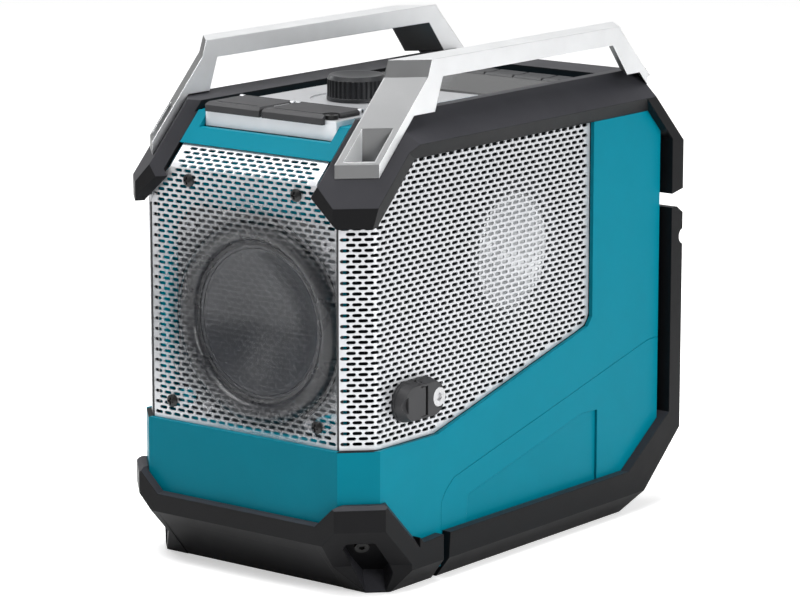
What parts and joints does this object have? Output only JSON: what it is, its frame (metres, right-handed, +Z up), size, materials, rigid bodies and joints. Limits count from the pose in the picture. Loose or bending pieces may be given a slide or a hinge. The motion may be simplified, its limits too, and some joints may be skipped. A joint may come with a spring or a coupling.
{
  "type": "jobsite radio",
  "caption": "Rugged box-shaped jobsite radio with wrap-round perforated grilles, faceted bumpers, two carrying handles, top controls and a rear battery bay.",
  "frame": {"origin": "centre of the bounding box on the floor", "axes": "+Z up to the controls, -Y out of the subwoofer grille, +Y out of the battery door, +X out of the side with the power inlet"},
  "size_m": [0.1768, 0.2948, 0.2823],
  "materials": {
    "teal_shell": "satin moulded",
    "black_bumper": "fine grained",
    "grille_sheet": "satin silver",
    "handle_metal": "satin anodised",
    "panel_silver": "satin silver paint",
    "gloss_window": "polished",
    "lcd": "matte screen",
    "rubber_black": "matte",
    "key_black": "satin",
    "screw_black": "blackened",
    "screw_steel": "bright",
    "speaker_black": "matte",
    "cone_grey": "pressed paper",
    "cone_pale": "satin",
    "magnet_steel": "zinc",
    "board_green": "solder mask",
    "inner_plastic": "moulded",
    "contact_metal": "plated"
  },
  "bodies": {
    "body": {"upper_housing": "teal_shell", "lower_housing": "teal_shell", "front_grille": "grille_sheet", "side_grille_right": "grille_sheet", "side_grille_left": "grille_sheet", "grille_gaskets": "rubber_black", "grille_screws": "screw_black", "top_frame": "black_bumper", "front_bumper": "black_bumper", "rear_bumper": "black_bumper", "bumper_screws": "screw_black", "handle_right": "handle_metal", "handle_left": "handle_metal", "handle_screws": "screw_steel", "control_panel": "panel_silver", "panel_screw": "screw_black", "display_lens": "gloss_window", "lcd_module": "lcd", "button_bezel": "key_black", "keypad": "rubber_black", "control_board": "board_green", "encoder_body": "contact_metal", "usb_socket": "contact_metal", "aux_socket": "inner_plastic", "inlet_base": "rubber_black", "inlet_screw": "screw_steel", "inlet_jack": "inner_plastic", "woofer_frame": "speaker_black", "woofer_surround": "rubber_black", "woofer_cone": "cone_grey", "woofer_magnet": "magnet_steel", "woofer_screws": "screw_steel", "mid_frame_right": "speaker_black", "mid_frame_left": "speaker_black", "mid_cone_right": "cone_pale", "mid_cone_left": "cone_pale", "battery_bay": "inner_plastic", "battery_terminals": "contact_metal", "door_pins": "screw_steel", "main_board": "board_green", "board_screws": "screw_steel", "heat_sink": "contact_metal"},
    "knob": {"volume_knob": "key_black", "encoder_shaft": "screw_steel"},
    "usb_cover": {"usb_cover": "rubber_black"},
    "aux_cover": {"aux_cover": "rubber_black"},
    "inlet_flap": {"inlet_flap": "rubber_black"},
    "battery_door": {"battery_door": "black_bumper", "door_seal": "rubber_black"},
    "door_latch": {"door_latch": "key_black"},
    "button_1": {"button_1": "key_black"},
    "button_2": {"button_2": "key_black"},
    "button_3": {"button_3": "key_black"},
    "button_4": {"button_4": "key_black"},
    "button_5": {"button_5": "key_black"},
    "button_6": {"button_6": "key_black"}
  },
  "joints": [
    {"name": "volume_turn", "type": "hinge", "parent": "body", "child": "knob", "pos_m": [0, -0.0423, 0.25], "axis": [0, 0, 1], "continuous": true},
    {"name": "usb_cover_hinge", "type": "hinge", "parent": "body", "child": "usb_cover", "pos_m": [-0.025, -0.088, 0.2521], "axis": [-1, 0, 0], "range_deg": [0, 110]},
    {"name": "aux_cover_hinge", "type": "hinge", "parent": "body", "child": "aux_cover", "pos_m": [0.0185, -0.088, 0.2521], "axis": [-1, 0, 0], "range_deg": [0, 110]},
    {"name": "inlet_flap_hinge", "type": "hinge", "parent": "body", "child": "inlet_flap", "pos_m": [0.08525, -0.0942, 0.102], "axis": [0, 0, 1], "range_deg": [0, 90]},
    {"name": "battery_door_hinge", "type": "hinge", "parent": "body", "child": "battery_door", "pos_m": [0, 0.1384, 0.046], "axis": [-1, 0, 0], "range_deg": [0, 100]},
    {"name": "door_latch_turn", "type": "hinge", "parent": "battery_door", "child": "door_latch", "pos_m": [0, 0.1378, 0.1565], "axis": [0, -1, 0], "range_deg": [0, 90]},
    {"name": "button_1_press", "type": "slide", "parent": "body", "child": "button_1", "axis": [0, 0, -1], "range_m": [0, 0.0008], "stiffness_N_per_m": 600, "springref_m": -0.0004},
    {"name": "button_2_press", "type": "slide", "parent": "body", "child": "button_2", "axis": [0, 0, -1], "range_m": [0, 0.0008], "stiffness_N_per_m": 600, "springref_m": -0.0004},
    {"name": "button_3_press", "type": "slide", "parent": "body", "child": "button_3", "axis": [0, 0, -1], "range_m": [0, 0.0008], "stiffness_N_per_m": 600, "springref_m": -0.0004},
    {"name": "button_4_press", "type": "slide", "parent": "body", "child": "button_4", "axis": [0, 0, -1], "range_m": [0, 0.0008], "stiffness_N_per_m": 600, "springref_m": -0.0004},
    {"name": "button_5_press", "type": "slide", "parent": "body", "child": "button_5", "axis": [0, 0, -1], "range_m": [0, 0.0008], "stiffness_N_per_m": 600, "springref_m": -0.0004},
    {"name": "button_6_press", "type": "slide", "parent": "body", "child": "button_6", "axis": [0, 0, -1], "range_m": [0, 0.0008], "stiffness_N_per_m": 600, "springref_m": -0.0004}
  ]
}
